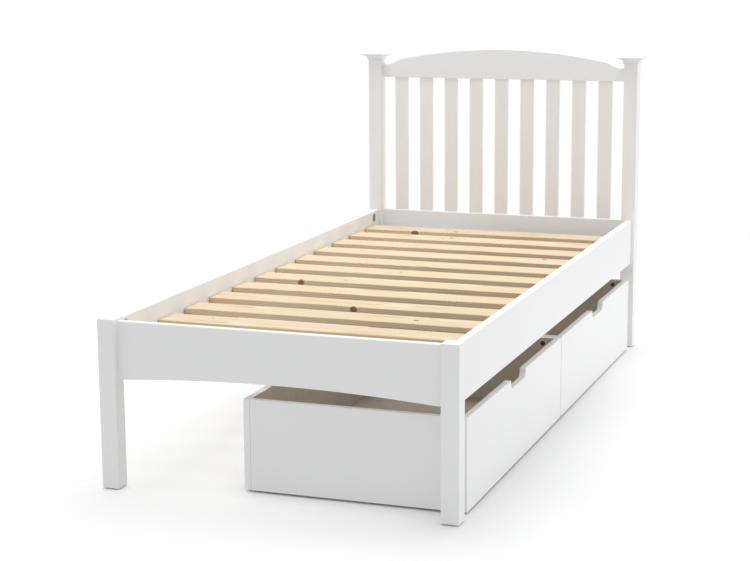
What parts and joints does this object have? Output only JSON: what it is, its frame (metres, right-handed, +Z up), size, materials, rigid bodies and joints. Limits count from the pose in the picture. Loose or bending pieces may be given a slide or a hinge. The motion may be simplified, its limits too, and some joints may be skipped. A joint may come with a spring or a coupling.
{
  "type": "bed frame",
  "caption": "Painted wooden single bed frame with an arched, slatted headboard, capped square posts, a slatted base and roll-out storage drawers on castors under its right side.",
  "frame": {"origin": "on the floor, under the middle of the overall box", "axes": "+Z up; +X towards the side with the drawers; +Y from the foot end to the head end"},
  "size_m": [1.018, 2.127, 1.0329],
  "materials": {
    "white_paint": "satin white paint on wood",
    "pine": "planed bare pine",
    "hardboard": "smooth brown hardboard",
    "steel": "zinc-plated steel",
    "black_plastic": "moulded, matt",
    "grey_plastic": "moulded, matt"
  },
  "bodies": {
    "frame": {"head_post_left": "white_paint", "head_post_right": "white_paint", "post_cap_left": "white_paint", "post_cap_right": "white_paint", "headboard_top_rail": "white_paint", "headboard_bottom_rail": "white_paint", "headboard_slat_1": "white_paint", "headboard_slat_2": "white_paint", "headboard_slat_3": "white_paint", "headboard_slat_4": "white_paint", "headboard_slat_5": "white_paint", "headboard_slat_6": "white_paint", "headboard_slat_7": "white_paint", "headboard_slat_8": "white_paint", "headboard_slat_9": "white_paint", "foot_leg_left": "white_paint", "foot_leg_right": "white_paint", "foot_rail": "white_paint", "side_rail_left": "white_paint", "side_rail_right": "white_paint", "slat_ledger_left": "pine", "slat_ledger_right": "pine", "base_slat_1": "pine", "base_slat_2": "pine", "base_slat_3": "pine", "base_slat_4": "pine", "base_slat_5": "pine", "base_slat_6": "pine", "base_slat_7": "pine", "base_slat_8": "pine", "base_slat_9": "pine", "base_slat_10": "pine", "base_slat_11": "pine", "base_slat_12": "pine", "rail_studs": "steel", "stud_washers": "steel", "stud_nuts": "steel", "base_screws": "steel", "leg_glides": "black_plastic"},
    "drawer_1": {"drawer_1_front": "white_paint", "drawer_1_back": "white_paint", "drawer_1_foot_side": "white_paint", "drawer_1_head_side": "white_paint", "drawer_1_base": "hardboard", "drawer_1_cam_fittings": "steel", "drawer_1_castor_brackets": "grey_plastic", "drawer_1_castor_axles": "steel"},
    "drawer_1_front_wheel_pair": {"drawer_1_front_wheels": "black_plastic"},
    "drawer_1_rear_wheel_pair": {"drawer_1_rear_wheels": "black_plastic"},
    "drawer_2": {"drawer_2_front": "white_paint", "drawer_2_back": "white_paint", "drawer_2_foot_side": "white_paint", "drawer_2_head_side": "white_paint", "drawer_2_base": "hardboard", "drawer_2_cam_fittings": "steel", "drawer_2_castor_brackets": "grey_plastic", "drawer_2_castor_axles": "steel"},
    "drawer_2_front_wheel_pair": {"drawer_2_front_wheels": "black_plastic"},
    "drawer_2_rear_wheel_pair": {"drawer_2_rear_wheels": "black_plastic"}
  },
  "joints": [
    {"name": "drawer_1_slide", "type": "slide", "parent": "frame", "child": "drawer_1", "axis": [1, 0, 0], "range_m": [0, 0.62]},
    {"name": "drawer_1_front_wheels_roll", "type": "hinge", "parent": "drawer_1", "child": "drawer_1_front_wheel_pair", "pos_m": [0.409, -0.49125, 0.016], "axis": [0, 1, 0], "continuous": true},
    {"name": "drawer_1_rear_wheels_roll", "type": "hinge", "parent": "drawer_1", "child": "drawer_1_rear_wheel_pair", "pos_m": [-0.05, -0.49125, 0.016], "axis": [0, 1, 0], "continuous": true},
    {"name": "drawer_2_slide", "type": "slide", "parent": "frame", "child": "drawer_2", "axis": [1, 0, 0], "range_m": [0, 0.62]},
    {"name": "drawer_2_front_wheels_roll", "type": "hinge", "parent": "drawer_2", "child": "drawer_2_front_wheel_pair", "pos_m": [0.409, 0.47225, 0.016], "axis": [0, 1, 0], "continuous": true},
    {"name": "drawer_2_rear_wheels_roll", "type": "hinge", "parent": "drawer_2", "child": "drawer_2_rear_wheel_pair", "pos_m": [-0.05, 0.47225, 0.016], "axis": [0, 1, 0], "continuous": true}
  ],
  "couplings": [
    {"joint": "drawer_1_front_wheels_roll", "follows": "drawer_1_slide", "rad_per_m": 62.5},
    {"joint": "drawer_1_rear_wheels_roll", "follows": "drawer_1_slide", "rad_per_m": 62.5},
    {"joint": "drawer_2_front_wheels_roll", "follows": "drawer_2_slide", "rad_per_m": 62.5},
    {"joint": "drawer_2_rear_wheels_roll", "follows": "drawer_2_slide", "rad_per_m": 62.5}
  ]
}
